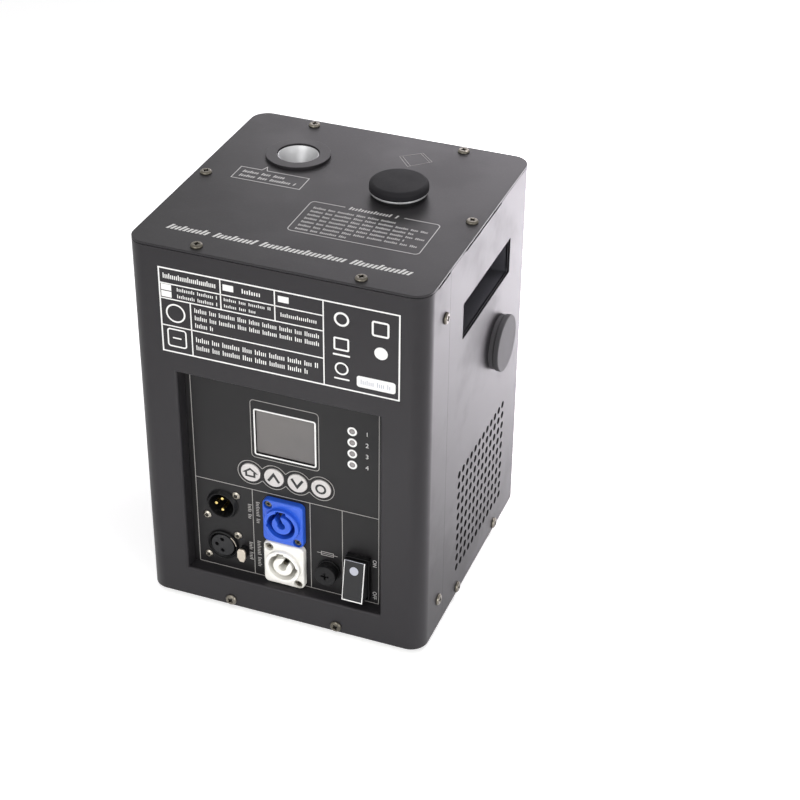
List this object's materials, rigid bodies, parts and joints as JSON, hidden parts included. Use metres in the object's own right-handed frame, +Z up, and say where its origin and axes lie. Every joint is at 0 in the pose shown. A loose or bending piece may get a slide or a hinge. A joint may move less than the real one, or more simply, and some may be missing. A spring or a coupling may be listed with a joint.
{
  "type": "cold spark machine",
  "caption": "Compact stage effect machine in a folded sheet case, with a spark outlet and filler on top, a recessed control panel, side grips and a vent grid.",
  "frame": {"origin": "middle of the base plate's underside, the plane the rubber feet are fixed to; the feet reach 4 mm below it", "axes": "+Z up; -Y is the front, with the control panel; +X is to the right when looking at the front, the side with the vent grid and the plug"},
  "size_m": [0.1903, 0.1868, 0.2632],
  "materials": {
    "case_paint": "satin powder coat",
    "black_plastic": "satin",
    "black_rubber": "matt",
    "blue_plastic": "satin",
    "white_plastic": "satin",
    "pale_plastic": "satin",
    "display_glass": "gloss",
    "clear_plastic": "clear",
    "bright_steel": "polished",
    "plain_steel": "satin",
    "screw_metal": "bronze plating",
    "contact_metal": "gold plating",
    "coil_metal": "bare copper",
    "light_alloy": "satin",
    "ceramic_fibre": "matt fibre",
    "circuit_board": "solder mask"
  },
  "bodies": {
    "chassis": {"front_shell": "case_paint", "rear_shell": "case_paint", "top_plate": "case_paint", "base_plate": "plain_steel", "foot_front_left": "black_rubber", "foot_front_right": "black_rubber", "foot_rear_left": "black_rubber", "foot_rear_right": "black_rubber", "top_screw_1": "screw_metal", "top_screw_2": "screw_metal", "top_screw_3": "screw_metal", "top_screw_4": "screw_metal", "top_screw_5": "screw_metal", "top_screw_6": "screw_metal", "grip_pocket_right": "black_plastic", "grip_pocket_left": "black_plastic", "plug_collar": "black_plastic", "control_panel": "case_paint", "data_in_housing": "black_plastic", "data_in_pins": "contact_metal", "data_out_housing": "black_plastic", "power_in_socket": "blue_plastic", "power_out_socket": "white_plastic", "fuse_holder": "black_plastic", "switch_housing": "black_plastic", "display_lens": "display_glass", "display_module": "black_plastic", "display_board": "circuit_board", "status_lights": "clear_plastic", "outlet_ring": "black_plastic", "nozzle_tube": "bright_steel", "chamber_tube": "plain_steel", "chamber_sleeve": "ceramic_fibre", "heating_coil": "coil_metal", "air_duct": "light_alloy", "filler_neck": "plain_steel", "hopper": "bright_steel", "feed_tube": "bright_steel", "feed_motor": "plain_steel", "blower_housing": "black_plastic", "blower_cover": "black_plastic", "fan_frame": "black_plastic", "power_supply": "light_alloy", "driver_bracket": "plain_steel", "driver_board": "circuit_board", "heat_sink": "light_alloy"},
    "cap": {"filler_cap": "black_rubber"},
    "plug": {"side_plug": "black_rubber"},
    "rocker": {"switch_rocker": "black_plastic"},
    "home_key": {"button_home": "pale_plastic"},
    "up_key": {"button_up": "pale_plastic"},
    "down_key": {"button_down": "pale_plastic"},
    "enter_key": {"button_enter": "pale_plastic"},
    "latch": {"data_out_latch": "plain_steel"},
    "fuse_insert": {"fuse_carrier": "plain_steel", "glass_fuse": "clear_plastic"},
    "fuse_knob": {"fuse_cap": "black_plastic"},
    "auger": {"feed_auger": "plain_steel"},
    "air_wheel": {"blower_wheel": "black_plastic"},
    "rotor": {"fan_rotor": "black_plastic"}
  },
  "joints": [
    {"name": "cap_lift", "type": "slide", "parent": "chassis", "child": "cap", "axis": [0, 0, 1], "range_m": [0, 0.045]},
    {"name": "plug_pull", "type": "slide", "parent": "chassis", "child": "plug", "axis": [1, 0, 0], "range_m": [0, 0.03]},
    {"name": "rocker_tilt", "type": "hinge", "parent": "chassis", "child": "rocker", "pos_m": [0.0473, -0.0824, 0.0407], "axis": [1, 0, 0], "range_deg": [0, 21]},
    {"name": "home_press", "type": "slide", "parent": "chassis", "child": "home_key", "axis": [0, 1, 0], "range_m": [0, 0.0005], "stiffness_N_per_m": 600},
    {"name": "up_press", "type": "slide", "parent": "chassis", "child": "up_key", "axis": [0, 1, 0], "range_m": [0, 0.0005], "stiffness_N_per_m": 600},
    {"name": "down_press", "type": "slide", "parent": "chassis", "child": "down_key", "axis": [0, 1, 0], "range_m": [0, 0.0005], "stiffness_N_per_m": 600},
    {"name": "enter_press", "type": "slide", "parent": "chassis", "child": "enter_key", "axis": [0, 1, 0], "range_m": [0, 0.0005], "stiffness_N_per_m": 600},
    {"name": "latch_press", "type": "slide", "parent": "chassis", "child": "latch", "axis": [0, 1, 0], "range_m": [0, 0.002], "stiffness_N_per_m": 800},
    {"name": "fuse_pull", "type": "slide", "parent": "chassis", "child": "fuse_insert", "axis": [0, -1, 0], "range_m": [0, 0.03]},
    {"name": "fuse_turn", "type": "hinge", "parent": "fuse_insert", "child": "fuse_knob", "pos_m": [0.02746, -0.0824, 0.0388], "axis": [0, -1, 0], "range_deg": [0, 90]},
    {"name": "auger_spin", "type": "hinge", "parent": "chassis", "child": "auger", "pos_m": [0.0331, 0.0172, 0.148], "axis": [-0.9506, 0.3105, 0], "continuous": true},
    {"name": "wheel_spin", "type": "hinge", "parent": "chassis", "child": "air_wheel", "pos_m": [-0.026, 0.0419, 0.0358], "axis": [0, -1, 0], "continuous": true},
    {"name": "rotor_spin", "type": "hinge", "parent": "chassis", "child": "rotor", "pos_m": [0.078, 0.0118, 0.05695], "axis": [1, 0, 0], "continuous": true}
  ]
}
